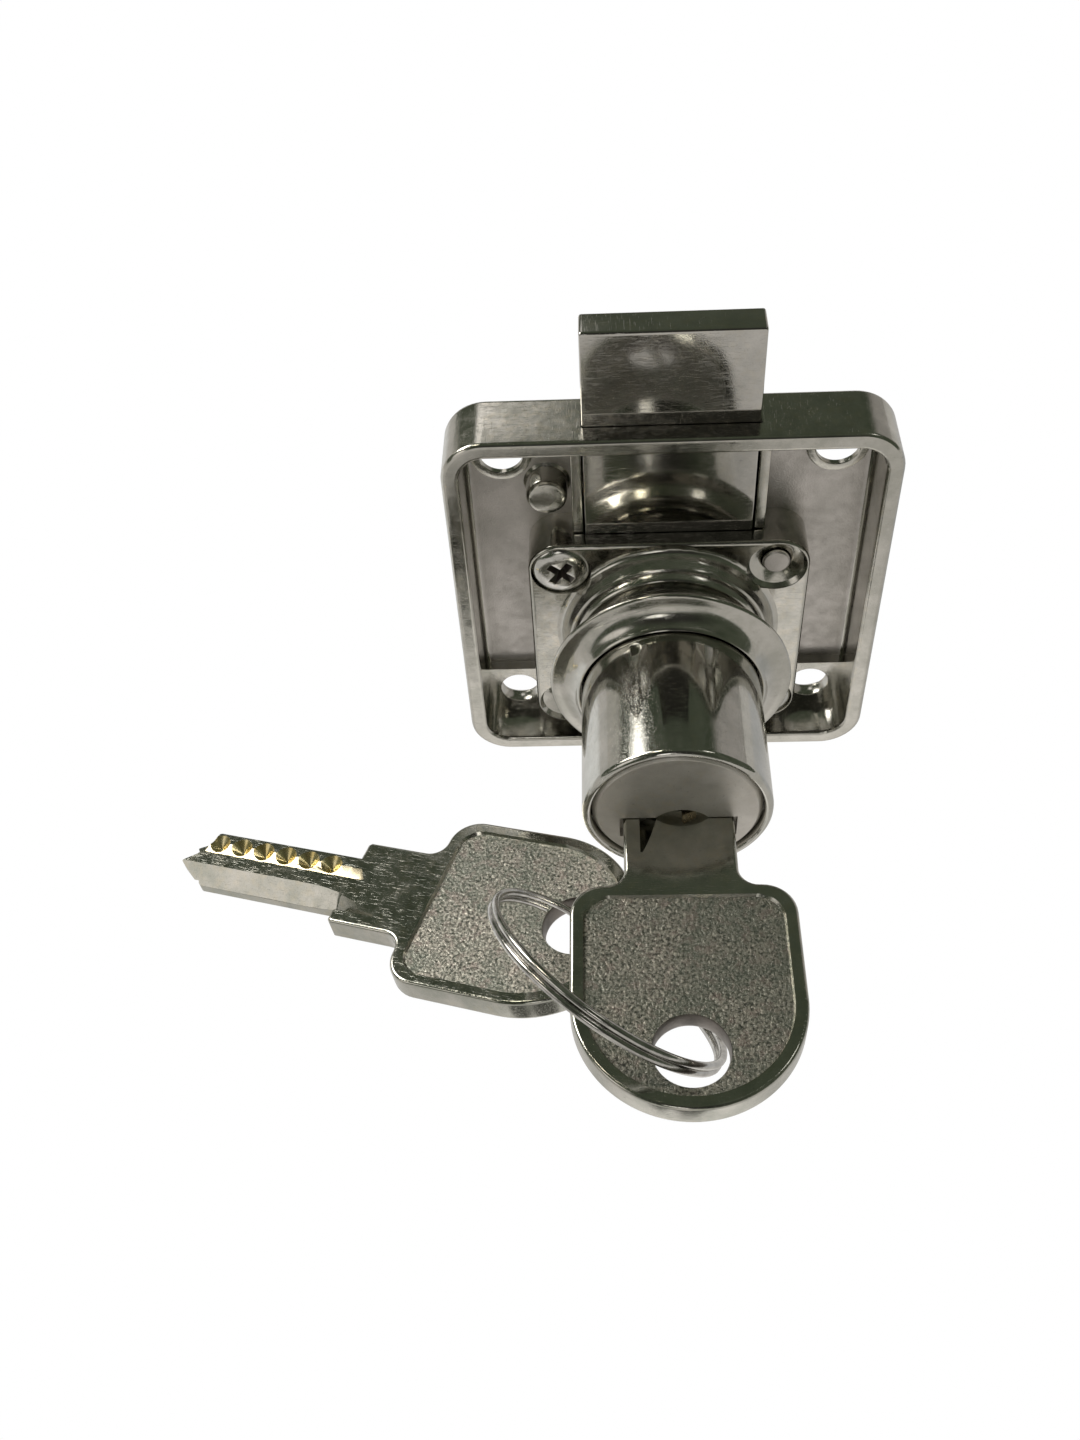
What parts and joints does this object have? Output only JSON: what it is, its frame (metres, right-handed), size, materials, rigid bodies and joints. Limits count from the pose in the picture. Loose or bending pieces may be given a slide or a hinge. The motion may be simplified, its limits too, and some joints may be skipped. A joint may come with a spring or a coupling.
{
  "type": "square bolt drawer lock",
  "caption": "Surface-fixed drawer lock: tray back plate, key cylinder with loose trim ring, sliding square bolt driven by an eccentric pin, and dimple keys joined by a split ring.",
  "frame": {"origin": "on the cylinder axis, in the plane of the tray's rim that lies against the back of the drawer front", "axes": "-Y runs along the nose towards the key and the user, +Y into the drawer, +Z the way the bolt comes out, X across"},
  "size_m": [0.0675, 0.0553, 0.0493],
  "materials": {
    "plate_nickel": "bright nickel on die cast zinc, satin on the tray floor",
    "housing_nickel": "bright polished nickel on die cast zinc",
    "trim_nickel": "bright polished nickel",
    "bolt_nickel": "bright polished nickel with light handling scratches",
    "plug_nickel": "nickel plated brass, polished face",
    "screw_nickel": "bright nickel plated steel",
    "sleeve_nickel": "bright polished nickel",
    "key_nickel": "nickel plated brass, pebbled field with polished border, raw brass cuts",
    "ring_steel": "bright drawn steel wire",
    "pin_steel": "turned steel",
    "pin_brass": "turned brass",
    "spring_bronze": "phosphor bronze wire",
    "spring_steel": "black spring steel",
    "cam_zinc": "plain cast zinc"
  },
  "bodies": {
    "lock_case": {"back_plate": "plate_nickel", "cylinder_shell": "housing_nickel", "housing_screw_1": "screw_nickel", "housing_screw_2": "screw_nickel", "nose_sleeve": "sleeve_nickel", "driver_pin_1": "pin_steel", "driver_pin_2": "pin_steel", "driver_pin_3": "pin_steel", "driver_pin_4": "pin_steel", "driver_pin_5": "pin_steel", "driver_pin_6": "pin_steel", "pin_spring_1": "spring_bronze", "pin_spring_2": "spring_bronze", "pin_spring_3": "spring_bronze", "pin_spring_4": "spring_bronze", "pin_spring_5": "spring_bronze", "pin_spring_6": "spring_bronze"},
    "trim_ring": {"trim_ring": "trim_nickel"},
    "bolt": {"bolt": "bolt_nickel"},
    "plug": {"plug": "plug_nickel", "drive_cam": "cam_zinc", "drive_pin": "pin_steel", "retaining_clip": "spring_steel", "key_pin_1": "pin_brass", "key_pin_2": "pin_brass", "key_pin_3": "pin_brass", "key_pin_4": "pin_brass", "key_pin_5": "pin_brass", "key_pin_6": "pin_brass"},
    "key": {"key": "key_nickel"},
    "split_ring": {"split_ring": "ring_steel"},
    "spare_key": {"spare_key": "key_nickel"}
  },
  "joints": [
    {"name": "plug_turn", "type": "hinge", "parent": "lock_case", "child": "plug", "pos_m": [0, 0, 0], "axis": [0, 1, 0], "range_deg": [0, 180]},
    {"name": "bolt_slide", "type": "slide", "parent": "lock_case", "child": "bolt", "axis": [0, 0, -1], "range_m": [0, 0.0093]},
    {"name": "key_pull", "type": "slide", "parent": "plug", "child": "key", "axis": [0, -1, 0], "range_m": [0, 0.024]},
    {"name": "ring_round", "type": "hinge", "parent": "key", "child": "split_ring", "pos_m": [-0.00627, -0.03622, -0.0032], "axis": [0.5729, 0.5268, 0.628], "range_deg": [-30, 15]},
    {"name": "spare_swing", "type": "hinge", "parent": "split_ring", "child": "spare_key", "pos_m": [-0.00896, -0.02689, -0.00858], "axis": [-0.7831, 0.1256, 0.6091], "range_deg": [-2, 12]},
    {"name": "trim_slide", "type": "slide", "parent": "lock_case", "child": "trim_ring", "axis": [0, -1, 0], "range_m": [0, 0.006]}
  ],
  "couplings": [
    {"joint": "bolt_slide", "follows": "plug_turn", "m_per_rad": 0.0029603}
  ]
}
